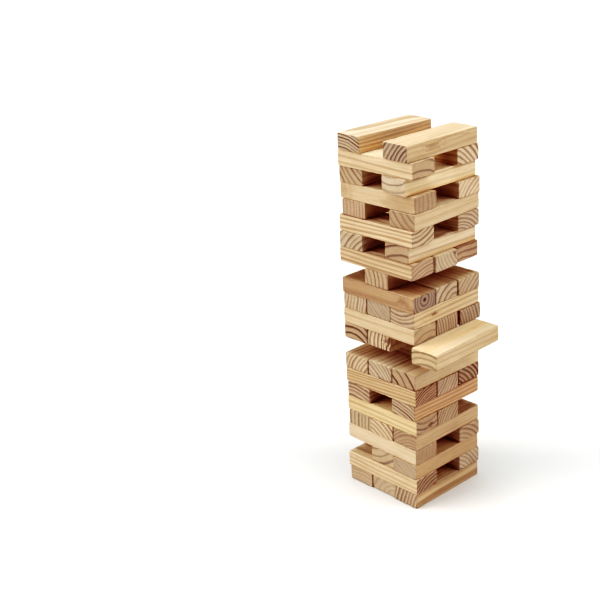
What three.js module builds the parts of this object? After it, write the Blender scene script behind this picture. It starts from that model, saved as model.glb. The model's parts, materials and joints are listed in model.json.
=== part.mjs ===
// A tumbling tower in mid-game: 54 plain pine blocks in 23 crossing layers, two blocks lying on top,
// gaps where blocks have already been taken out, and one block drawn out sideways.
//
// Millimetres, +Z up. The origin is on the table at the centre of the tower's square footprint.
// Odd layers, counted from the bottom, run along Y and hold a left, a middle and a right block.
// Even layers run along X and hold a front, a middle and a back block.

import * as THREE from "three";

const BLOCK = { length: 75, width: 24.3, thickness: 12.7 };
const NEIGHBOUR_GAP = 0.5; // between two blocks side by side, pushed together by hand
const LAYER_GAP = 0.1; // sawn faces never bed down quite flat
const EASED_EDGE = 0.5; // every arris is broken by this much

const LAYER_PITCH = BLOCK.thickness + LAYER_GAP;
const SLOT_PITCH = BLOCK.width + NEIGHBOUR_GAP;

const SLOTS_ALONG_Y = { left: -SLOT_PITCH, middle: 0, right: SLOT_PITCH };
const SLOTS_ALONG_X = { front: -SLOT_PITCH, middle: 0, back: SLOT_PITCH };

// Planed pine, from creamy sapwood to warmer, resinous heartwood.
const PINE = {
  pale: new THREE.MeshStandardMaterial({ color: 0xf0dcae, roughness: 0.62, metalness: 0 }),
  tan: new THREE.MeshStandardMaterial({ color: 0xdfc08a, roughness: 0.6, metalness: 0 }),
  warm: new THREE.MeshStandardMaterial({ color: 0xcf9f6e, roughness: 0.58, metalness: 0 }),
};

// How one block lies in its slot: its tone, its shift along X and Y from the slot's own place, in
// millimetres, and its turn about Z, in degrees.
function lie(tone, x = 0, y = 0, turn = 0) {
  return { tone, x, y, turn };
}

// Every block of the tower, layer by layer from the bottom. A slot that is left out is empty.
const STACK = [
  { left: lie("tan", 0.6, -0.5), middle: lie("pale", 0.7, 0.2), right: lie("tan", 0.5, -1) },
  { front: lie("tan", 0.5, -1.9, 0.5), back: lie("pale", 0, 0.9) },
  { middle: lie("pale", 0, 0.4), right: lie("tan", 0.2, -0.8) },
  { front: lie("pale", -0.4, -0.4, -0.8), back: lie("tan", 0.5, 0.6) },
  { left: lie("pale", 0.6, 0.1), middle: lie("tan", 0.3, -0.3), right: lie("pale", 0.2, 0) },
  { front: lie("pale", 0.3, -0.3), middle: lie("tan", 0.3, 0) },
  { left: lie("tan", 1.3, -0.7), right: lie("tan", 0.2, -0.5, -0.6) },
  { front: lie("tan", 0.8, -1.3), middle: lie("pale", 0.3, 0), back: lie("tan", -0.7, 1.6) },
  { left: lie("tan", 0.4, -1), middle: lie("pale", 0.2, -0.2), right: lie("pale", 0, 0.6) },
  { middle: lie("tan", -0.6, 0), back: lie("pale", 0.5, 0.3) },
  { left: lie("pale", 0.2, -0.5), middle: lie("tan", 0, 0.6), right: lie("pale", 23.9, -3.4, 1.5) },
  { front: lie("pale", 0.4, -0.8), middle: lie("tan", 0, 0.3), back: lie("warm", 0.7, 1.7) },
  { left: lie("tan", 0.7, -0.4), middle: lie("pale", 0.4, 0.3), right: lie("tan", 0.6, -0.1) },
  { front: lie("warm", 0.5, -1.1), middle: lie("pale", -0.3, 0.2), back: lie("tan", 0.7, 0.4) },
  { middle: lie("tan", 0, -0.5) },
  { front: lie("tan", -1, -0.9), middle: lie("pale", 0.4, -0.3), back: lie("warm", -1.6, 1.2) },
  { left: lie("pale", -0.2, -1.4), right: lie("pale", -3, 0, -0.7) },
  { front: lie("tan", 0, -1), back: lie("tan", 0, 0.8) },
  { left: lie("tan", 2, 0.6), right: lie("pale", 0.6, 1, 1.5) },
  { front: lie("pale", 0.7, 1.1, 0.8), back: lie("tan", 0, 1.8) },
  { left: lie("tan", 0.2, 0.7), right: lie("pale", -3.2, -0.5, -2.3) },
  { front: lie("tan", 1, -0.8, 0.8), back: lie("tan", 0, 0.3) },
  { left: lie("pale", 3.2, -1.5, -3.2), right: lie("tan", 0, -2, -1.7) },
];

// One block, its length along Y and its underside at z = 0, with all twelve edges eased.
function blockGeometry() {
  const halfWidth = BLOCK.width / 2;
  const halfThickness = BLOCK.thickness / 2;
  const corners = [
    [halfWidth, halfThickness],
    [-halfWidth, halfThickness],
    [-halfWidth, -halfThickness],
    [halfWidth, -halfThickness],
  ];
  // Each corner of the section becomes two points, one along each of the sides that meet there.
  const points = corners.flatMap(([x, y], i) => {
    const onFlat = new THREE.Vector2(x - Math.sign(x) * EASED_EDGE, y);
    const onSide = new THREE.Vector2(x, y - Math.sign(y) * EASED_EDGE);
    return i % 2 === 0 ? [onSide, onFlat] : [onFlat, onSide];
  });
  const geometry = new THREE.ExtrudeGeometry(new THREE.Shape(points), {
    depth: BLOCK.length - 2 * EASED_EDGE,
    bevelEnabled: true,
    bevelThickness: EASED_EDGE,
    bevelSize: EASED_EDGE,
    bevelOffset: -EASED_EDGE,
    bevelSegments: 1,
  });
  geometry.translate(0, 0, EASED_EDGE - BLOCK.length / 2);
  geometry.rotateX(Math.PI / 2);
  geometry.translate(0, 0, halfThickness);
  return geometry;
}

function makeLayer(blocks, index, geometry) {
  const layer = new THREE.Group();
  const alongY = index % 2 === 0;
  const slots = alongY ? SLOTS_ALONG_Y : SLOTS_ALONG_X;
  const number = String(index + 1).padStart(2, "0");
  for (const [slot, { tone, x, y, turn }] of Object.entries(blocks)) {
    const block = new THREE.Mesh(geometry, PINE[tone]);
    const across = slots[slot];
    block.name = `layer_${number}_${slot}_block`;
    block.position.set(x + (alongY ? across : 0), y + (alongY ? 0 : across), 0);
    block.rotation.z = THREE.MathUtils.degToRad(turn + (alongY ? 0 : 90));
    layer.add(block);
  }
  layer.position.z = index * LAYER_PITCH;
  return layer;
}

function makeTower() {
  const tower = new THREE.Group();
  const geometry = blockGeometry();
  tower.add(...STACK.map((blocks, index) => makeLayer(blocks, index, geometry)));
  return tower;
}

export default makeTower();
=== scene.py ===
"""A tumbling tower of pine blocks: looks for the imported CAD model.

Every CAD node is one block. Each is replaced by a worn, slightly crooked block of the same size, cut
from a log of its own: the pith, ring spacing and tints in WOOD say where in a log it was sawn, and
the pine materials grow the rings, fibres and knots from that, so end grain and side grain meet at
every edge. Metres in the scene; millimetres in WOOD, in the mesh code and in the materials.
"""

import json
import math
import zlib
from types import SimpleNamespace

import bpy
import numpy as np
from mathutils import Matrix, Vector


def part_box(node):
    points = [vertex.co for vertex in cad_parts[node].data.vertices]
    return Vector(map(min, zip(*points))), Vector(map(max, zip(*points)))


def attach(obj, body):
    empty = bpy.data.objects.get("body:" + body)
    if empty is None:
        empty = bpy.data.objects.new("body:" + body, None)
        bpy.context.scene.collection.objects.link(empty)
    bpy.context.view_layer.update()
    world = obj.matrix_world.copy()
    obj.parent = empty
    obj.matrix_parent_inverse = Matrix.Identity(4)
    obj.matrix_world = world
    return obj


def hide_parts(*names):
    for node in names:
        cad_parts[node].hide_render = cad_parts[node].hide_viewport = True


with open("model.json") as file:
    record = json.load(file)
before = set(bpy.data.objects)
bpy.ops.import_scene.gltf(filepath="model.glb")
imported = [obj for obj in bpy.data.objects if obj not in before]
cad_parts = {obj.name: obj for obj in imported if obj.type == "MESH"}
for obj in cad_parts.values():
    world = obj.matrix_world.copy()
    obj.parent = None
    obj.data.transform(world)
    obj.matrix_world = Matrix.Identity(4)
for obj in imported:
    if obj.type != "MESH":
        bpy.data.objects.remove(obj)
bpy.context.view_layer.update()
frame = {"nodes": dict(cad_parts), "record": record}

MM = 0.001

# Tints: how a face departs from the plain colour of its pine, as a multiplier of red, green, blue.
TINT = {
    "plain": (1.0, 1.0, 1.0),
    "cream": (1.08, 1.10, 1.12),
    "bright": (1.20, 1.22, 1.20),
    "white": (1.34, 1.38, 1.42),
    "rosy": (1.12, 1.02, 0.95),
    "yellow": (1.03, 1.01, 0.88),
    "tan": (0.94, 0.91, 0.86),
    "orange": (1.00, 0.90, 0.76),
    "pink": (0.99, 0.94, 0.93),
    "red": (0.94, 0.81, 0.74),
    "grey": (0.88, 0.88, 0.90),
    "brown": (0.82, 0.75, 0.68),
}

NO_KNOT = (0, 0, 0, 0, 0, 1)
NO_STREAK = (0, 0, 0)
STRIPE_FOR_BOLD = 0.75  # growth rings are fainter on the sides than on the ends


def cut(
    pith, ring, bold, end="plain", side="plain", stripe=None, heart=0, knot=NO_KNOT, streak=NO_STREAK
):
    """How one block was cut, seen square on to its near end: x to the right, z up, y away, in mm from
    the block's centre.

    pith: (x, z) of the log's centre line. ring: width of a growth ring. bold: how dark the latewood
    lines are on the ends, 0 to 1, and stripe the same on the sides. end, side: tints. heart: radius
    of the pinker heartwood round the pith. knot: (x, y, z, radius, darkness, stretch along the grain).
    streak: (x, z, radius) of a resinous streak along the block.
    """
    knot_x, knot_y, knot_z, knot_radius, knot_dark, knot_stretch = knot
    return {
        "pith": pith,
        "ring_mm": float(ring),
        "bold": float(bold),
        "stripe": STRIPE_FOR_BOLD * bold if stripe is None else float(stripe),
        "end_tint": [float(c) for c in TINT[end]],
        "side_tint": [float(c) for c in TINT[side]],
        "heart_mm": float(heart),
        "knot": [float(knot_x), float(knot_y), float(knot_z)],
        "knot_mm": float(knot_radius),
        "knot_dark": float(knot_dark),
        "knot_stretch": float(knot_stretch),
        "streak": [float(c) for c in streak],
    }


# The near end is the one towards -Y in the odd layers and the one towards +X in the even layers.
WOOD = {
    "layer_01_left_block": cut((0, -50), 3.4, 0.25, "plain", "tan"),
    "layer_01_middle_block": cut((14, -12), 5, 0.25, "plain", "plain"),
    "layer_01_right_block": cut((60, -22), 3.2, 0.6, "plain", "tan", stripe=0.55),
    "layer_02_front_block": cut(
        (18, -42), 3, 0.6, "brown", "cream", stripe=0.38, knot=(9, -37, -4.5, 1, 1, 1)
    ),
    "layer_02_back_block": cut((-28, -26), 3.3, 0.5, "plain", "plain"),
    "layer_03_middle_block": cut((-12, 30), 6, 0.65, "tan", "cream", stripe=0.35),
    "layer_03_right_block": cut((40, 60), 3, 0.2, "grey", "brown", stripe=0.1),
    "layer_04_front_block": cut((-60, 12), 4, 0.12, "brown", "plain", stripe=0.18),
    "layer_04_back_block": cut((-18, -30), 3.6, 0.5, "tan", "tan"),
    "layer_05_left_block": cut((70, -5), 4, 0.65, "tan", "plain", stripe=0.4),
    "layer_05_middle_block": cut((-25, -35), 4, 0.7, "bright", "orange"),
    "layer_05_right_block": cut((12, -25), 3, 0.4, "brown", "brown"),
    "layer_06_front_block": cut(
        (2, 26), 4.5, 0.6, "brown", "yellow", stripe=0.4, knot=(4, -37.5, -2, 1.8, 0.8, 1.5)
    ),
    "layer_06_middle_block": cut((30, -20), 3, 0.5, "tan", "tan"),
    "layer_07_left_block": cut((-6, -70), 3.1, 0.65, "pink", "plain", stripe=0.5),
    "layer_07_right_block": cut((-20, -56), 3, 0.8, "plain", "red", stripe=0.6),
    "layer_08_front_block": cut((20, -45), 2.2, 0.9, "red", "tan", stripe=0.55),
    "layer_08_middle_block": cut((-30, 20), 3, 0.5, "pink", "plain"),
    "layer_08_back_block": cut((-28, -26), 3.4, 0.9, "brown", "tan"),
    "layer_09_left_block": cut((35, -22), 3.1, 0.62, "bright", "plain", stripe=0.5),
    "layer_09_middle_block": cut((-36, -34), 3.4, 0.62, "plain", "cream"),
    "layer_09_right_block": cut((-40, -34), 7, 0.95, "brown", "tan", stripe=0.5, heart=30),
    "layer_10_middle_block": cut((25, 40), 3.4, 0.5, "tan", "tan"),
    "layer_10_back_block": cut((-30, 30), 4, 0.4, "plain", "plain"),
    "layer_11_left_block": cut((-5, -22), 5, 0.9, "brown", "plain", stripe=0.5),
    "layer_11_middle_block": cut(
        (38, -6), 3.6, 0.95, "bright", "tan", stripe=0.6, knot=(9.5, -37, 2, 2.6, 1, 1.5)
    ),
    "layer_11_right_block": cut((2, -24), 4.6, 0.6, "yellow", "tan", stripe=0.35, streak=(-2, 6, 6)),
    "layer_12_front_block": cut((4, -25), 6, 0.4, "tan", "tan", stripe=0.35),
    "layer_12_middle_block": cut((-80, -10), 2.9, 0.55, "cream", "plain"),
    "layer_12_back_block": cut((-60, -24), 3.1, 0.6, "bright", "red", stripe=0.5),
    "layer_13_left_block": cut((-70, 15), 3.2, 0.5, "cream", "plain", stripe=0.45),
    "layer_13_middle_block": cut((45, 45), 3, 0.3, "grey", "plain"),
    "layer_13_right_block": cut(
        (-4, 32), 3.6, 0.56, "plain", "cream", stripe=0.5, knot=(12.1, -15, 0, 0.9, 1, 4.5)
    ),
    "layer_14_front_block": cut(
        (0, 2), 3.5, 0.55, "grey", "tan", stripe=0.35, knot=(-12.1, -26, 0, 2.2, 0.2, 1.5)
    ),
    "layer_14_middle_block": cut((9, -13), 4.6, 0.58, "plain", "tan", stripe=0.35),
    "layer_14_back_block": cut((35, -35), 4, 0.45, "plain", "tan"),
    "layer_15_middle_block": cut((-60, -14), 4.2, 0.6, "tan", "brown"),
    "layer_16_front_block": cut((10, -40), 2.8, 0.5, "pink", "plain", stripe=0.7),
    "layer_16_middle_block": cut((30, 18), 3.2, 0.4, "cream", "plain", knot=(9.3, -37, 4, 1.3, 1, 1.5)),
    "layer_16_back_block": cut((0, -80), 5, 0.65, "rosy", "orange", stripe=0.4),
    "layer_17_left_block": cut((40, -35), 4.2, 0.6, "plain", "plain", stripe=0.4),
    "layer_17_right_block": cut((8, -38), 7, 0.95, "brown", "cream", stripe=0.7, streak=(12, -5, 2)),
    "layer_18_front_block": cut((-10, 34), 3.6, 0.65, "bright", "cream", stripe=0.62),
    "layer_18_back_block": cut((-14, -26), 3, 0.55, "cream", "tan"),
    "layer_19_left_block": cut((-70, 0), 3.5, 0.35, "pink", "tan", stripe=0.2),
    "layer_19_right_block": cut((45, 45), 5, 0.45, "brown", "tan", stripe=0.2),
    "layer_20_front_block": cut(
        (-80, 0), 4.5, 0.35, "brown", "tan", stripe=0.3, knot=(-12, 35, 0, 6, 0.2, 1)
    ),
    "layer_20_back_block": cut((36, -36), 3.6, 0.5, "white", "tan", stripe=0.45),
    "layer_21_left_block": cut((22, 20), 4.2, 0.6, "tan", "plain"),
    "layer_21_right_block": cut(
        (-4, 28), 6.5, 0.55, "cream", "bright", stripe=0.35, streak=(12, -6, 2.5)
    ),
    "layer_22_front_block": cut((-8, -55), 6, 0.6, "tan", "cream", stripe=0.45),
    "layer_22_back_block": cut((-22, -24), 3.8, 0.85, "white", "orange"),
    "layer_23_left_block": cut((-8, -45), 2.5, 0.85, "plain", "plain", stripe=0.5, streak=(12, -3, 9)),
    "layer_23_right_block": cut(
        (30, -22), 3.4, 0.8, "grey", "plain", stripe=0.3, knot=(12.1, -11, 1.5, 2.6, 0.3, 2)
    ),
}


# ---------------------------------------------------------------------------------------------------
# Blocks, in mm. A range is given as its least and greatest values.
# ---------------------------------------------------------------------------------------------------

RIM = (0.0, 0.12, 0.28, 0.5, 0.8, 1.2)  # rows of vertices beside every arris, from the face
CELL = 1.3  # the rest of the grid

ARRIS_RADIUS = 0.38
ARRIS_RADIUS_RANGE = (0.24, 1.1)
ARRIS_WAVES = ((0.1, 18), (0.05, 5))  # how much the radius varies, and over what length
CORNER_RADIUS = 0.35  # added at a corner
CORNER_REACH = (3.0, 5.0, 3.0)  # how far from a corner that shows, along X, Y and Z

FACE_WAVES = ((0.035, 60), (0.008, 9))  # how deep the faces undulate, and over what length
DENT_COUNT = (5, 8)
DENT_ARRISES = (0.3, 0.5, 0.2)  # the chances that a dented arris runs along X, Y and Z
DENT_SIZE = (0.8, 2.2)
DENT_DEPTH = (0.06, 0.26)
BRUISE_COUNT = (2, 4)
BRUISE_REACH = (1.6, 2.4, 1.6)
BRUISE_DEPTH = (0.04, 0.12)

HANDLED_REACH = 1.1  # how far from an arris the handling marks and the painted shade of the joints show
GRAIN_DRIFT = 0.035  # how far, at most, the pith strays sideways in each mm along a block
END_EDGE = (0.5, 0.85)  # the normal's part along the block where end grain begins, and where it is full


def stations(half):
    """Where the grid's rows lie along one side of a block, from -half to half."""
    rim = half - np.array(RIM)
    inner = rim[-1]
    count = max(2, round(2 * inner / CELL))
    return np.concatenate([-rim[:-1], np.linspace(-inner, inner, count + 1), rim[:-1][::-1]])


def shell(rows):
    """The vertices and the outward quads of a closed box with a grid on every side."""
    counts = [len(r) for r in rows]
    index = np.full(counts, -1)
    i, j, k = np.meshgrid(*[np.arange(n) for n in counts], indexing="ij")
    outside = np.zeros(counts, bool)
    for at, n in zip((i, j, k), counts):
        outside |= (at == 0) | (at == n - 1)
    index[outside] = np.arange(outside.sum())
    points = np.stack([rows[0][i[outside]], rows[1][j[outside]], rows[2][k[outside]]], axis=1)
    quads = []
    for axis in range(3):
        for end in (0, -1):
            side = np.take(index, end, axis=axis)
            quad = np.stack([side[:-1, :-1], side[1:, :-1], side[1:, 1:], side[:-1, 1:]], axis=-1)
            quad = quad.reshape(-1, 4)
            outward = (end == -1) == (axis != 1)
            quads.append(quad if outward else quad[:, ::-1])
    return points, np.concatenate(quads)


def waves(rng, points, length, count=4):
    """A smooth random surface, about -1 to 1, of waves about that length."""
    total = np.zeros(len(points))
    for _ in range(count):
        direction = rng.normal(size=3)
        direction /= np.linalg.norm(direction)
        total += np.sin(points @ direction * (2 * math.pi / length) + rng.uniform(0, 2 * math.pi))
    return total / count


def worn(points, half, rng):
    """Rounds the arrises of a box by an uneven radius and wears, bows and dents it, always inwards."""
    corner = np.linalg.norm((half - np.abs(points)) / CORNER_REACH, axis=1)
    radius = ARRIS_RADIUS
    for depth, length in ARRIS_WAVES:
        radius = radius + depth * waves(rng, points, length)
    radius = np.clip(radius + CORNER_RADIUS * np.exp(-corner**2), *ARRIS_RADIUS_RANGE)[:, None]
    core = np.clip(points, -(half - radius), half - radius)
    out = points - core
    out /= np.linalg.norm(out, axis=1)[:, None]
    made = core + out * radius

    sunk = np.zeros(len(points))
    for depth, length in FACE_WAVES:
        sunk += depth * (1 + waves(rng, points, length))
    for _ in range(rng.integers(*DENT_COUNT, endpoint=True)):
        # A dent on one of the arrises: two of its coordinates are at their ends, the third anywhere.
        centre = half * rng.choice((-1, 1), size=3)
        free = rng.choice(3, p=DENT_ARRISES)
        centre[free] = rng.uniform(-1, 1) * half[free]
        size = rng.uniform(*DENT_SIZE)
        away = np.linalg.norm(points - centre, axis=1) / size
        sunk += rng.uniform(*DENT_DEPTH) * np.exp(-away**2)
    for _ in range(rng.integers(*BRUISE_COUNT, endpoint=True)):
        # A shallow bruise in a broad face, from one block's corner pressing on another.
        centre = np.array([rng.uniform(-1, 1) * half[0], rng.uniform(-1, 1) * half[1], half[2]])
        centre[2] *= rng.choice((-1, 1))
        away = np.linalg.norm((points - centre) / BRUISE_REACH, axis=1)
        sunk += rng.uniform(*BRUISE_DEPTH) * np.exp(-away**2)
    return made - out * sunk[:, None], out


def nearness_to_arris(points, half):
    """1 on an arris, falling to 0 a couple of millimetres away from it."""
    depth = np.sort(half - np.abs(points), axis=1)[:, 1]
    return np.exp(-((depth / HANDLED_REACH) ** 2))


def add_attribute(mesh, name, kind, values):
    """Gives every vertex a value that the pine can read."""
    field = "vector" if kind == "FLOAT_VECTOR" else "value"
    attribute = mesh.attributes.new(name, kind, "POINT")
    attribute.data.foreach_set(field, np.asarray(values, np.float32).ravel())


def block_mesh(name, size, pith, rng):
    """A worn block, its length along Y, centred on the origin; the attributes tell the pine where in
    its log each point is, whether it is on an end, and how near it is to an arris."""
    half = np.array(size) / 2
    points, quads = shell([stations(h) for h in half])
    made, out = worn(points, half, rng)

    mesh = bpy.data.meshes.new(name)
    mesh.from_pydata((made * MM).tolist(), [], quads.tolist())
    mesh.polygons.foreach_set("use_smooth", np.ones(len(quads), bool))

    # A log's grain is never quite parallel to the saw, so the pith drifts along the block.
    along = points[:, 1] + half[1]
    drift = rng.uniform(-GRAIN_DRIFT, GRAIN_DRIFT, 2)
    from_pith = points.copy()
    from_pith[:, 0] -= pith[0] + drift[0] * along
    from_pith[:, 2] -= pith[1] + drift[1] * along
    on_end = np.interp(np.abs(out[:, 1]), END_EDGE, (0, 1))
    add_attribute(mesh, "from_pith", "FLOAT_VECTOR", from_pith)
    add_attribute(mesh, "in_block", "FLOAT_VECTOR", points)
    add_attribute(mesh, "on_end", "FLOAT", on_end)
    add_attribute(mesh, "near_arris", "FLOAT", nearness_to_arris(points, half))
    mesh.validate()
    return mesh


def placing(node):
    """The middle of a CAD block, its size in mm, and the turn to it from a block that lies along Y."""
    low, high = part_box(node)
    middle = (low + high) / 2
    points = np.array([v.co for v in frame["nodes"][node].data.vertices]) - np.array(middle)
    length_axis = np.linalg.svd(points, full_matrices=False)[2][0]
    runs_along_y = abs(length_axis[1]) > abs(length_axis[0])
    # The far end is towards +Y, or towards -X.
    toward_far = length_axis[1] if runs_along_y else -length_axis[0]
    if toward_far < 0:
        length_axis = -length_axis
    far = Vector(length_axis)
    right = far.cross(Vector((0, 0, 1)))
    axes = np.array([right, far, (0, 0, 1)])
    extent = points @ axes.T
    size = (extent.max(axis=0) - extent.min(axis=0)) / MM
    turn = Matrix((right, far, (0, 0, 1))).transposed()
    return middle, size, turn


def make_block(node, slot):
    """The worn block that takes the place of a CAD node."""
    middle, size, turn = placing(node)
    wood = dict(WOOD[node])
    rng = np.random.default_rng(zlib.crc32(node.encode()))
    mesh = block_mesh(node + "_wood", size, wood.pop("pith"), rng)
    piece = bpy.data.objects.new(node + "_wood", mesh)
    bpy.context.scene.collection.objects.link(piece)
    piece.matrix_world = Matrix.Translation(middle) @ turn.to_4x4()
    piece["seed"] = float(rng.uniform(0, 100))
    for name, value in wood.items():
        piece[name] = value
    mesh.materials.append(PINE[slot])
    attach(piece, node)
    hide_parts(node)


# ---------------------------------------------------------------------------------------------------
# Pine
# ---------------------------------------------------------------------------------------------------

# How many cells of each pattern there are in a mm across the block, along its grain and up.
KNOT_RAGGED_PER_MM = (0.9, 0.5, 0.9)
WANDER_PER_MM = (0.045, 0.009, 0.045)
RIPPLE_PER_MM = (0.35, 0.018, 0.35)
FIBRES_PER_MM = (2.4, 0.045, 2.4)
COARSE_FIBRES_PER_MM = (0.6, 0.012, 0.6)
PORES_PER_MM = (3.6, 3.6, 3.6)
CANALS_PER_MM = (1.3, 0.10, 1.3)
BLOTCHES_PER_MM = (0.05, 0.022, 0.05)
# The darkening of the arrises is partly dirt and partly painted shade in the joints between blocks.
DIRT_AND_JOINT_SHADE_PER_MM = (0.22, 0.22, 0.22)
BRUISES_PER_MM = (0.3, 0.15, 0.3)
UNEVEN_PER_RING = (0.37, 1.0, 1.0)  # the second is for the block's seed
RAYS_PER_MM = (1.7, 1.0, 1.0)  # round the pith; the others are for the seed and for RAY_OUTWARDS
RAY_OUTWARDS = 0.16  # cells in a mm outwards

# Where in a pattern, which runs from 0 to 1, an effect of it starts and where it is full.
KNOT_RAGGED_SPAN = (0.2, 0.8)
CANAL_SPAN = (0.69, 0.76)
RESIN_SPAN = (0.3, 0.6)
# Where the arris darkening, dirt and painted joint shade, starts and is full.
DIRT_AND_JOINT_SHADE_SPAN = (0.42, 0.7)
BRUISE_SPAN = (0.6, 0.75)
ROUGHNESS_SPAN = (0.25, 0.75)

# Knots: where an effect starts and where it is full, in radii of the knot, and how strong it is.
KNOT_CORE = (1.25, 0.45)
KNOT_HALO = (2.6, 0.8)
KNOT_RAGGEDNESS = (0.6, 1.5)
KNOT_STAIN = (0.25, 0.6)  # in a knot of no darkness, and in one of full darkness
KNOT_PUSH = 0.8  # how far the rings are pushed aside, in radii
KNOT_RINGS = 2.6  # in a radius
KNOT_RING_PROFILE = [(0.0, 0.55), (0.5, 0.95), (1.0, 0.55)]
SMALLEST_KNOT_MM = 0.1
TINY = 0.01  # stands in for a radius of nothing, which can't be divided by

# Growth rings.
WANDER_MM = 4.5  # how far the pith wanders
RIPPLE_MM = 0.9
UNEVENNESS = 1.2  # in rings
LATEWOOD_MM = 3.2  # the widest ring that is drawn whole; a wider one has only more earlywood
LATEWOOD_PROFILE = [(0.0, 0.0), (0.26, 0.03), (0.45, 0.3), (0.6, 0.9), (0.94, 1.0), (1.0, 0.5)]
RING_LUCK = (0.7, 1.15)  # how dark the faintest and the boldest ring of a block come out
HEART_EDGE_MM = (3.5, -3.5)
PITH_SPOT_MM = (2.3, 1.1)

# What each pattern multiplies the colour by, from its least to its greatest values.
AS_IT_IS = (1, 1, 1)
FIBRE_TONES = [(0.25, (0.86, 0.83, 0.78)), (0.5, AS_IT_IS), (0.75, (1.05, 1.05, 1.06))]
COARSE_FIBRE_TONES = [(0.3, (0.94, 0.91, 0.86)), (0.55, AS_IT_IS), (0.75, (1.04, 1.05, 1.07))]
PORE_TONES = [(0.3, (0.8, 0.77, 0.74)), (0.55, AS_IT_IS), (0.8, (1.08, 1.08, 1.08))]
RAY_TONES = [(0.3, (0.93, 0.92, 0.9)), (0.6, AS_IT_IS), (0.8, (1.07, 1.08, 1.09))]
BLOTCH_TONES = [(0.3, (0.92, 0.89, 0.84)), (0.5, AS_IT_IS), (0.72, (1.05, 1.05, 1.06))]

# Colours and strengths of what lies over the grain. A tint multiplies, and a colour covers.
HEART_STRENGTH = 0.75
RESIN_TINT, RESIN_STRENGTH = (0.94, 0.76, 0.48), 0.7
RESIN_EDGE = (1.4, 0.3)  # in radii of the streak
RESIN_ON_ENDS = 0.3  # of its strength on the sides
CANAL_TINT, CANAL_STRENGTH = (0.55, 0.40, 0.27), 0.4
PITH_TINT, PITH_STRENGTH = (0.36, 0.25, 0.17), 0.7
KNOT_TINT = (0.70, 0.57, 0.42)
KNOT_COLOUR = (0.14, 0.072, 0.038)
# Darkening of the arrises: handling dirt, and painted shade in the joints between blocks.
DIRT_AND_JOINT_SHADE_TINT, DIRT_AND_JOINT_SHADE_STRENGTH = (0.78, 0.70, 0.62), 0.5
BRUISE_COLOUR, BRUISE_STRENGTH = (0.70, 0.56, 0.38), 0.3

# Roughness of the sides from low fibres to high ones, and what is added to it.
SIDE_ROUGHNESS = (0.66, 0.5)
ROUGHER_LATEWOOD = -0.08
ROUGHER_END = 0.12
ROUGHER_ARRIS = -0.07
ROUGHER_KNOT = -0.12
SPECULAR = 0.35

# Relief, mm.
LATEWOOD_ON_SIDE = 0.03
LATEWOOD_ON_END = 0.04
FIBRE_RELIEF = 0.07
PORE_RELIEF = 0.12
CANAL_DEPTH = 0.05
KNOT_DEPTH = 0.06
PLANER_RELIEF, PLANER_PITCH, PLANER_DRIFT = 0.003, 1.6, 2.0
SAW_RELIEF, SAW_PITCH, SAW_SLANT = 0.012, 0.9, 0.35
BUMP_STRENGTH = 0.8


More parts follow.
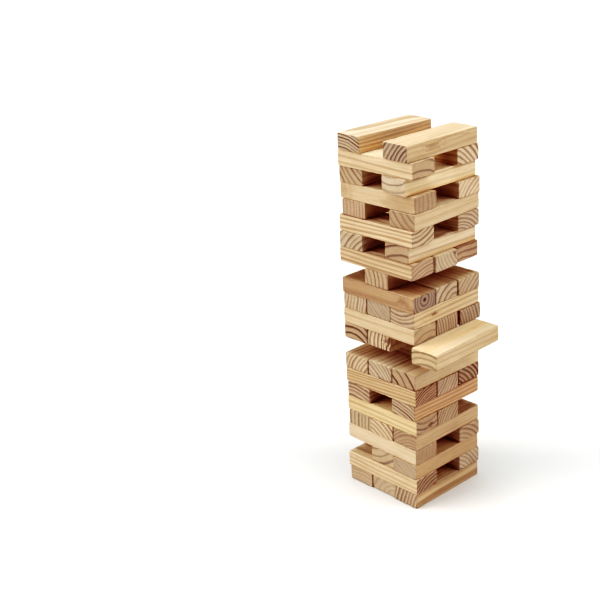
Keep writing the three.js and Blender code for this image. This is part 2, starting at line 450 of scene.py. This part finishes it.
class Nodes:
    """A material's nodes, made by short calls that return the output socket."""

    def __init__(self, tree):
        self.tree = tree

    def add(self, kind, inputs, output=0, **settings):
        node = self.tree.nodes.new(kind)
        for key, value in settings.items():
            setattr(node, key, value)
        for key, value in inputs.items():
            if isinstance(value, bpy.types.NodeSocket):
                self.tree.links.new(value, node.inputs[key])
            else:
                node.inputs[key].default_value = value
        return node.outputs[output] if node.outputs else None

    def of_mesh(self, name, output="Fac"):
        return self.add("ShaderNodeAttribute", {}, output, attribute_name=name)

    def of_object(self, name, output="Fac"):
        return self.add("ShaderNodeAttribute", {}, output, attribute_name=name, attribute_type="OBJECT")

    def math(self, operation, a, b=0.0):
        return self.add("ShaderNodeMath", {0: a, 1: b}, operation=operation)

    def plus(self, first, *others):
        for other in others:
            first = self.math("ADD", first, other)
        return first

    def minus(self, a, b):
        return self.math("SUBTRACT", a, b)

    def times(self, a, b):
        return self.math("MULTIPLY", a, b)

    def over(self, a, b):
        return self.math("DIVIDE", a, b)

    def at_least(self, a, b):
        return self.math("MAXIMUM", a, b)

    def vector(self, operation, a, b):
        return self.add("ShaderNodeVectorMath", {0: a, 1: b}, operation=operation)

    def length(self, a):
        return self.add("ShaderNodeVectorMath", {0: a}, "Value", operation="LENGTH")

    def combine(self, x=0.0, y=0.0, z=0.0):
        return self.add("ShaderNodeCombineXYZ", {0: x, 1: y, 2: z})

    def split(self, vector):
        """The x, y and z of a vector."""
        return list(self.add("ShaderNodeSeparateXYZ", {0: vector}).node.outputs)

    def across_grain(self, vector):
        """The vector without its part along the block."""
        return self.vector("MULTIPLY", vector, (1.0, 0.0, 1.0))

    def shifted(self, vector, amount):
        """The vector moved by the same amount along all three axes, for an independent pattern."""
        return self.vector("ADD", vector, self.combine(amount, amount, amount))

    def noise(self, vector, per_mm, detail=2.0, roughness=0.5):
        """Smooth noise, about 0 to 1; per_mm says how many cells it has per mm along each axis."""
        scaled = self.vector("MULTIPLY", vector, per_mm)
        inputs = {"Vector": scaled, "Scale": 1.0, "Detail": detail, "Roughness": roughness}
        return self.add("ShaderNodeTexNoise", inputs, "Fac")

    def swing(self, noise, width):
        """Noise made to swing about 0 instead of a half, over that width."""
        return self.times(self.plus(noise, -0.5), width)

    def between(self, value, start, end, low=0.0, high=1.0):
        """value's place from start to end, eased, as a number from low to high."""
        inputs = {"Value": value, "From Min": start, "From Max": end, "To Min": low, "To Max": high}
        return self.add("ShaderNodeMapRange", inputs, interpolation_type="SMOOTHSTEP")

    def stripes(self, place, pitch):
        """A sine wave, -1 to 1, with that many mm from crest to crest."""
        return self.math("SINE", self.times(place, 2 * math.pi / pitch))

    def curve(self, value, stops):
        """A number that runs through (place, number) stops as value goes from 0 to 1."""
        return self.ramp(value, [(at, (v, v, v)) for at, v in stops])

    def ramp(self, value, stops):
        """A colour that runs through (place, colour) stops as value goes from 0 to 1."""
        node = self.tree.nodes.new("ShaderNodeValToRGB")
        self.tree.links.new(value, node.inputs[0])
        elements = node.color_ramp.elements
        while len(elements) < len(stops):
            elements.new(0.5)
        for element, (at, colour) in zip(elements, stops):
            element.position = at
            element.color = (*colour, 1)
        return node.outputs["Color"]

    def mix(self, amount, a, b, blend="MIX"):
        """Two colours mixed; amount is 0 for a and 1 for b."""
        node = self.tree.nodes.new("ShaderNodeMix")
        node.data_type = "RGBA"
        node.blend_type = blend
        for key, value in (("Factor_Float", amount), ("A_Color", a), ("B_Color", b)):
            socket = next(s for s in node.inputs if s.identifier == key)
            if isinstance(value, bpy.types.NodeSocket):
                self.tree.links.new(value, socket)
            else:
                socket.default_value = (*value, 1) if key != "Factor_Float" else value
        return next(s for s in node.outputs if s.identifier == "Result_Color")

    def tinted(self, colour, tint, amount=1.0):
        """The colour multiplied by a tint; amount is 0 for not at all and 1 for wholly."""
        return self.mix(amount, colour, tint, "MULTIPLY")


def knot_nodes(n, in_block, here):
    """A block's knot: its radius, each point's place in it, 0 at its middle and 1 a radius away, and
    how much of its core, of the halo of pushed rings and of stain there is at each point."""
    radius = n.of_object("knot_mm")
    darkness = n.of_object("knot_dark")
    along_grain = n.over(1.0, n.at_least(n.of_object("knot_stretch"), 1.0))
    offset = n.vector("SUBTRACT", in_block, n.of_object("knot", "Vector"))
    distance = n.length(n.vector("MULTIPLY", offset, n.combine(1.0, along_grain, 1.0)))
    ragged = n.noise(here, KNOT_RAGGED_PER_MM, detail=3.0, roughness=0.6)
    distance = n.times(distance, n.between(ragged, *KNOT_RAGGED_SPAN, *KNOT_RAGGEDNESS))
    place = n.over(distance, n.at_least(radius, TINY))
    is_there = n.math("GREATER_THAN", radius, SMALLEST_KNOT_MM)
    halo = n.times(is_there, n.between(place, *KNOT_HALO))
    return SimpleNamespace(
        radius=radius,
        place=place,
        halo=halo,
        core=n.times(n.times(is_there, darkness), n.between(place, *KNOT_CORE)),
        stain=n.times(halo, n.between(darkness, 0.0, 1.0, *KNOT_STAIN)),
    )


def ring_nodes(n, from_pith, seed, knot):
    """The distance from a wandering pith, and the latewood of the growth rings round it, 0 to 1. The
    distance is counted in rings of uneven width, and a knot pushes the rings aside."""
    wander = n.noise(n.shifted(from_pith, seed), WANDER_PER_MM, detail=1.0)
    ripple = n.noise(n.shifted(from_pith, seed), RIPPLE_PER_MM)
    radius = n.plus(
        n.length(n.across_grain(from_pith)),
        n.swing(wander, WANDER_MM),
        n.swing(ripple, RIPPLE_MM),
        n.times(knot.halo, n.times(knot.radius, KNOT_PUSH)),
    )
    ring_mm = n.of_object("ring_mm")
    rings = n.over(radius, ring_mm)
    uneven = n.noise(n.combine(rings, seed), UNEVEN_PER_RING, detail=1.0)
    rings = n.plus(rings, n.times(uneven, UNEVENNESS))
    ring_place = n.math("FRACT", rings)
    ring_number = n.math("FLOOR", rings)
    luck = n.add("ShaderNodeTexWhiteNoise", {"Vector": n.combine(ring_number, seed)}, "Value")
    # However wide a ring is, its latewood fills no more than the last part of LATEWOOD_MM.
    wideness = n.at_least(n.over(ring_mm, LATEWOOD_MM), 1.0)
    late_place = n.minus(1.0, n.times(n.minus(1.0, ring_place), wideness))
    latewood = n.times(n.curve(late_place, LATEWOOD_PROFILE), n.between(luck, 0.0, 1.0, *RING_LUCK))
    return radius, latewood


def grain_nodes(n, here, from_pith, radius, seed):
    """Fibres along the block, which are pores on the ends, rays from the pith across the ends, resin
    canals, and blotches over all."""
    pith_x, _, pith_z = n.split(from_pith)
    angle = n.math("ARCTAN2", pith_z, pith_x)
    round_pith = n.times(angle, n.length(n.across_grain(from_pith)))
    ray_place = n.combine(round_pith, seed, n.times(radius, RAY_OUTWARDS))
    canals = n.noise(here, CANALS_PER_MM, detail=1.0)
    return SimpleNamespace(
        fibres=n.noise(here, FIBRES_PER_MM, detail=3.0, roughness=0.6),
        coarse_fibres=n.noise(here, COARSE_FIBRES_PER_MM),
        pores=n.noise(here, PORES_PER_MM, roughness=0.7),
        rays=n.noise(ray_place, RAYS_PER_MM, roughness=0.6),
        canals=n.between(canals, *CANAL_SPAN),
        blotches=n.noise(here, BLOTCHES_PER_MM, detail=3.0, roughness=0.55),
    )


def resin_nodes(n, in_block, on_end, coarse_fibres):
    """How resinous each point is, 0 to 1: a streak runs the length of the block, fainter on the ends."""
    streak_x, streak_z, streak_radius = n.split(n.of_object("streak", "Vector"))
    offset = n.across_grain(n.vector("SUBTRACT", in_block, n.combine(streak_x, 0.0, streak_z)))
    place = n.over(n.length(offset), n.at_least(streak_radius, TINY))
    resin = n.times(n.between(place, *RESIN_EDGE), n.between(coarse_fibres, *RESIN_SPAN))
    return n.times(resin, n.between(on_end, 0.0, 1.0, 1.0, RESIN_ON_ENDS))


def relief_nodes(n, here, on_end, latewood, grain, knot):
    """Relief in mm: hard latewood stands proud, and the planer and the saw leave their marks."""
    here_x, here_y, here_z = n.split(here)
    planer = n.stripes(n.plus(here_y, n.times(grain.blotches, PLANER_DRIFT)), PLANER_PITCH)
    side = n.plus(
        n.times(latewood, LATEWOOD_ON_SIDE),
        n.times(grain.fibres, FIBRE_RELIEF),
        n.times(planer, PLANER_RELIEF),
    )
    saw = n.stripes(n.plus(here_x, n.times(here_z, SAW_SLANT)), SAW_PITCH)
    end = n.plus(
        n.times(grain.pores, PORE_RELIEF),
        n.times(n.times(saw, grain.blotches), SAW_RELIEF),
        n.times(latewood, LATEWOOD_ON_END),
    )
    relief = n.minus(n.mix(on_end, side, end), n.times(grain.canals, CANAL_DEPTH))
    return n.minus(relief, n.times(knot.core, KNOT_DEPTH))


def pine(name, early_side, late_side, early_end, late_end, heartwood):
    """Planed pine. Early and late are the two colours of a growth ring, on the sides and on the ends."""
    material = bpy.data.materials.new(name)
    material.use_nodes = True
    material.node_tree.nodes.clear()
    n = Nodes(material.node_tree)

    seed = n.of_object("seed")
    in_block = n.of_mesh("in_block", "Vector")
    from_pith = n.of_mesh("from_pith", "Vector")
    on_end = n.of_mesh("on_end")
    near_arris = n.of_mesh("near_arris")
    here = n.shifted(in_block, seed)  # differs from block to block

    knot = knot_nodes(n, in_block, here)
    radius, latewood = ring_nodes(n, from_pith, seed, knot)
    grain = grain_nodes(n, here, from_pith, radius, seed)

    side = n.mix(n.times(latewood, n.of_object("stripe")), early_side, late_side)
    side = n.tinted(side, n.ramp(grain.fibres, FIBRE_TONES))
    side = n.tinted(side, n.ramp(grain.coarse_fibres, COARSE_FIBRE_TONES))
    side = n.tinted(side, n.of_object("side_tint", "Vector"))

    end = n.mix(n.times(latewood, n.of_object("bold")), early_end, late_end)
    end = n.tinted(end, n.ramp(grain.pores, PORE_TONES))
    end = n.tinted(end, n.ramp(grain.rays, RAY_TONES))
    end = n.tinted(end, n.of_object("end_tint", "Vector"))

    colour = n.mix(on_end, side, end)
    colour = n.tinted(colour, n.ramp(grain.blotches, BLOTCH_TONES))

    # Heartwood, resin, canals, the pith itself and knots.
    heart = n.between(n.minus(radius, n.of_object("heart_mm")), *HEART_EDGE_MM)
    colour = n.tinted(colour, heartwood, n.times(heart, HEART_STRENGTH))
    resin = resin_nodes(n, in_block, on_end, grain.coarse_fibres)
    colour = n.tinted(colour, RESIN_TINT, n.times(resin, RESIN_STRENGTH))
    colour = n.tinted(colour, CANAL_TINT, n.times(grain.canals, CANAL_STRENGTH))
    pith_spot = n.between(radius, *PITH_SPOT_MM)
    colour = n.tinted(colour, PITH_TINT, n.times(pith_spot, PITH_STRENGTH))
    colour = n.tinted(colour, KNOT_TINT, knot.stain)
    knot_rings = n.curve(n.math("FRACT", n.times(knot.place, KNOT_RINGS)), KNOT_RING_PROFILE)
    colour = n.mix(n.times(knot.core, knot_rings), colour, KNOT_COLOUR)

    # Handling and painted shade: the arrises are darkened in patches, partly as dirt where fingers reach
    # and partly as painted shade in the joints between blocks, and they are bruised pale in places.
    dirt_and_joint_shade = n.noise(here, DIRT_AND_JOINT_SHADE_PER_MM, detail=3.0, roughness=0.6)
    dirt_and_joint_shade = n.times(near_arris, n.between(dirt_and_joint_shade, *DIRT_AND_JOINT_SHADE_SPAN))
    colour = n.tinted(colour, DIRT_AND_JOINT_SHADE_TINT, n.times(dirt_and_joint_shade, DIRT_AND_JOINT_SHADE_STRENGTH))
    bruise = n.times(near_arris, n.between(n.noise(here, BRUISES_PER_MM), *BRUISE_SPAN))
    colour = n.mix(n.times(bruise, BRUISE_STRENGTH), colour, BRUISE_COLOUR)

    # Latewood and handled arrises are smoother, and ends are rougher.
    roughness = n.plus(
        n.between(grain.fibres, *ROUGHNESS_SPAN, *SIDE_ROUGHNESS),
        n.times(latewood, ROUGHER_LATEWOOD),
        n.times(on_end, ROUGHER_END),
        n.times(near_arris, ROUGHER_ARRIS),
        n.times(knot.core, ROUGHER_KNOT),
    )
    relief = relief_nodes(n, here, on_end, latewood, grain, knot)
    bump_inputs = {"Strength": BUMP_STRENGTH, "Distance": MM, "Height": relief}
    bump = n.add("ShaderNodeBump", bump_inputs, "Normal")
    shader = n.add(
        "ShaderNodeBsdfPrincipled",
        {"Base Color": colour, "Roughness": roughness, "Normal": bump, "Specular IOR Level": SPECULAR},
    )
    n.add("ShaderNodeOutputMaterial", {"Surface": shader})
    return material


PINE = {
    "pine_pale": pine(
        "pine_pale",
        early_side=(0.60, 0.465, 0.32),
        late_side=(0.30, 0.165, 0.08),
        early_end=(0.525, 0.40, 0.282),
        late_end=(0.125, 0.07, 0.036),
        heartwood=(0.94, 0.80, 0.70),
    ),
    "pine_tan": pine(
        "pine_tan",
        early_side=(0.57, 0.425, 0.275),
        late_side=(0.26, 0.138, 0.062),
        early_end=(0.51, 0.375, 0.257),
        late_end=(0.115, 0.063, 0.032),
        heartwood=(0.94, 0.78, 0.68),
    ),
    "pine_warm": pine(
        "pine_warm",
        early_side=(0.44, 0.30, 0.185),
        late_side=(0.21, 0.10, 0.048),
        early_end=(0.42, 0.31, 0.22),
        late_end=(0.09, 0.048, 0.026),
        heartwood=(0.94, 0.78, 0.66),
    ),
}

for part in frame["record"]["subparts"]:
    make_block(part["node"], part["material_slot"])


# ---------------------------------------------------------------------------------------------------
# Studio
# ---------------------------------------------------------------------------------------------------

FLOOR_RADIUS = 40.0
FLOOR_CORNERS = 96
FLOOR_COLOUR = (0.62, 0.565, 0.52, 1)
FLOOR_ROUGHNESS = 0.9
FLOOR_SPECULAR = 0.1
FLOOR_BELOW = 0.0002  # the blocks' undersides don't lie in the floor's own plane

CAMERA_AZIMUTH = math.radians(48.6)
CAMERA_ELEVATION = math.radians(21.4)
CAMERA_ROLL = math.radians(-3.3)
CAMERA_DISTANCE = 0.927
AIM_ASIDE = -0.087  # the camera aims this far along its own right of the tower's axis
AIM_HEIGHT = 0.1625
LENS = 70.9
SENSOR = 36.0
CLIP = (0.05, 200.0)

SOFTBOX_DEGREES = 45
AMBIENT = 0.05
BACKGROUND = (1.0, 0.99, 0.97, 1)

# Bends in the curves of display: what is this dim comes out this dim.
SHADOW_CURVE = ((0.05, 0.012), (0.12, 0.055), (0.25, 0.17), (0.42, 0.375), (0.6, 0.59))
GREEN_CURVE = ((0.03, 0.012), (0.08, 0.045), (0.16, 0.12), (0.26, 0.245), (0.38, 0.38))
BLUE_CURVE = ((0.02, 0.007), (0.05, 0.028), (0.11, 0.085), (0.19, 0.18), (0.3, 0.3))


def direction(azimuth, elevation):
    """Towards a place round the tower. Azimuth 0 is in front of it, towards -Y, and 90 is towards +X."""
    level = math.cos(elevation)
    return Vector((math.sin(azimuth) * level, -math.cos(azimuth) * level, math.sin(elevation)))


def make_floor():
    """A wide, round, pale floor."""
    angles = [2 * math.pi * i / FLOOR_CORNERS for i in range(FLOOR_CORNERS)]
    rim = [(FLOOR_RADIUS * math.cos(a), FLOOR_RADIUS * math.sin(a), -FLOOR_BELOW) for a in angles]
    mesh = bpy.data.meshes.new("floor")
    mesh.from_pydata(rim, [], [range(FLOOR_CORNERS)])
    floor = bpy.data.objects.new("floor", mesh)
    bpy.context.scene.collection.objects.link(floor)
    material = bpy.data.materials.new("pale_floor")
    material.use_nodes = True
    shader = material.node_tree.nodes["Principled BSDF"]
    shader.inputs["Base Color"].default_value = FLOOR_COLOUR
    shader.inputs["Roughness"].default_value = FLOOR_ROUGHNESS
    shader.inputs["Specular IOR Level"].default_value = FLOOR_SPECULAR
    mesh.materials.append(material)


def make_softbox(name, azimuth, elevation, strength, colour):
    """A soft distant light; its azimuth and elevation are in degrees."""
    light = bpy.data.lights.new(name, "SUN")
    light.energy = strength
    light.angle = math.radians(SOFTBOX_DEGREES)
    light.color = colour
    lamp = bpy.data.objects.new(name, light)
    source = direction(math.radians(azimuth), math.radians(elevation))
    lamp.rotation_euler = source.to_track_quat("Z", "Y").to_euler()
    bpy.context.scene.collection.objects.link(lamp)


def make_world():
    """Even ambient light; what the camera itself sees beyond the floor is plain white."""
    world = bpy.data.worlds.new("studio")
    world.use_nodes = True
    world.node_tree.nodes.clear()
    n = Nodes(world.node_tree)
    is_seen = n.add("ShaderNodeLightPath", {}, "Is Camera Ray")
    strength = n.plus(n.times(is_seen, 1.0 - AMBIENT), AMBIENT)
    background = n.add("ShaderNodeBackground", {"Color": BACKGROUND, "Strength": strength})
    n.add("ShaderNodeOutputWorld", {"Surface": background})
    bpy.context.scene.world = world


def make_camera():
    """The photo's view: rolled a little, and aimed to one side of the tower's axis."""
    camera = bpy.data.cameras.new("camera")
    camera.lens = LENS
    camera.sensor_width = SENSOR
    camera.clip_start, camera.clip_end = CLIP
    back = direction(CAMERA_AZIMUTH, CAMERA_ELEVATION)
    level_right = Vector((math.cos(CAMERA_AZIMUTH), math.sin(CAMERA_AZIMUTH), 0))
    level_up = back.cross(level_right)
    right = level_right * math.cos(CAMERA_ROLL) + level_up * math.sin(CAMERA_ROLL)
    up = level_up * math.cos(CAMERA_ROLL) - level_right * math.sin(CAMERA_ROLL)
    aim = level_right * AIM_ASIDE + Vector((0, 0, AIM_HEIGHT))
    holder = bpy.data.objects.new("camera", camera)
    turn = Matrix((right, up, back)).transposed().to_4x4()
    holder.matrix_world = Matrix.Translation(aim + back * CAMERA_DISTANCE) @ turn
    bpy.context.scene.collection.objects.link(holder)
    bpy.context.scene.camera = holder


def set_tones():
    """A plain display transform with a photograph's deeper and warmer shadows."""
    view = bpy.context.scene.view_settings
    view.view_transform = "Standard"
    view.use_curve_mapping = True
    _, green, blue, every = view.curve_mapping.curves
    for curve, bends in ((green, GREEN_CURVE), (blue, BLUE_CURVE), (every, SHADOW_CURVE)):
        for dim, dimmer in bends:
            curve.points.new(dim, dimmer)
    view.curve_mapping.update()


make_floor()
make_softbox("left_softbox", azimuth=-36, elevation=34, strength=3.0, colour=(1.0, 1.0, 0.99))
make_softbox("right_softbox", azimuth=116, elevation=38, strength=2.25, colour=(1.0, 0.985, 0.96))
make_softbox("overhead_softbox", azimuth=0, elevation=88, strength=3.4, colour=(0.93, 1.10, 1.24))
make_world()
make_camera()
set_tones()
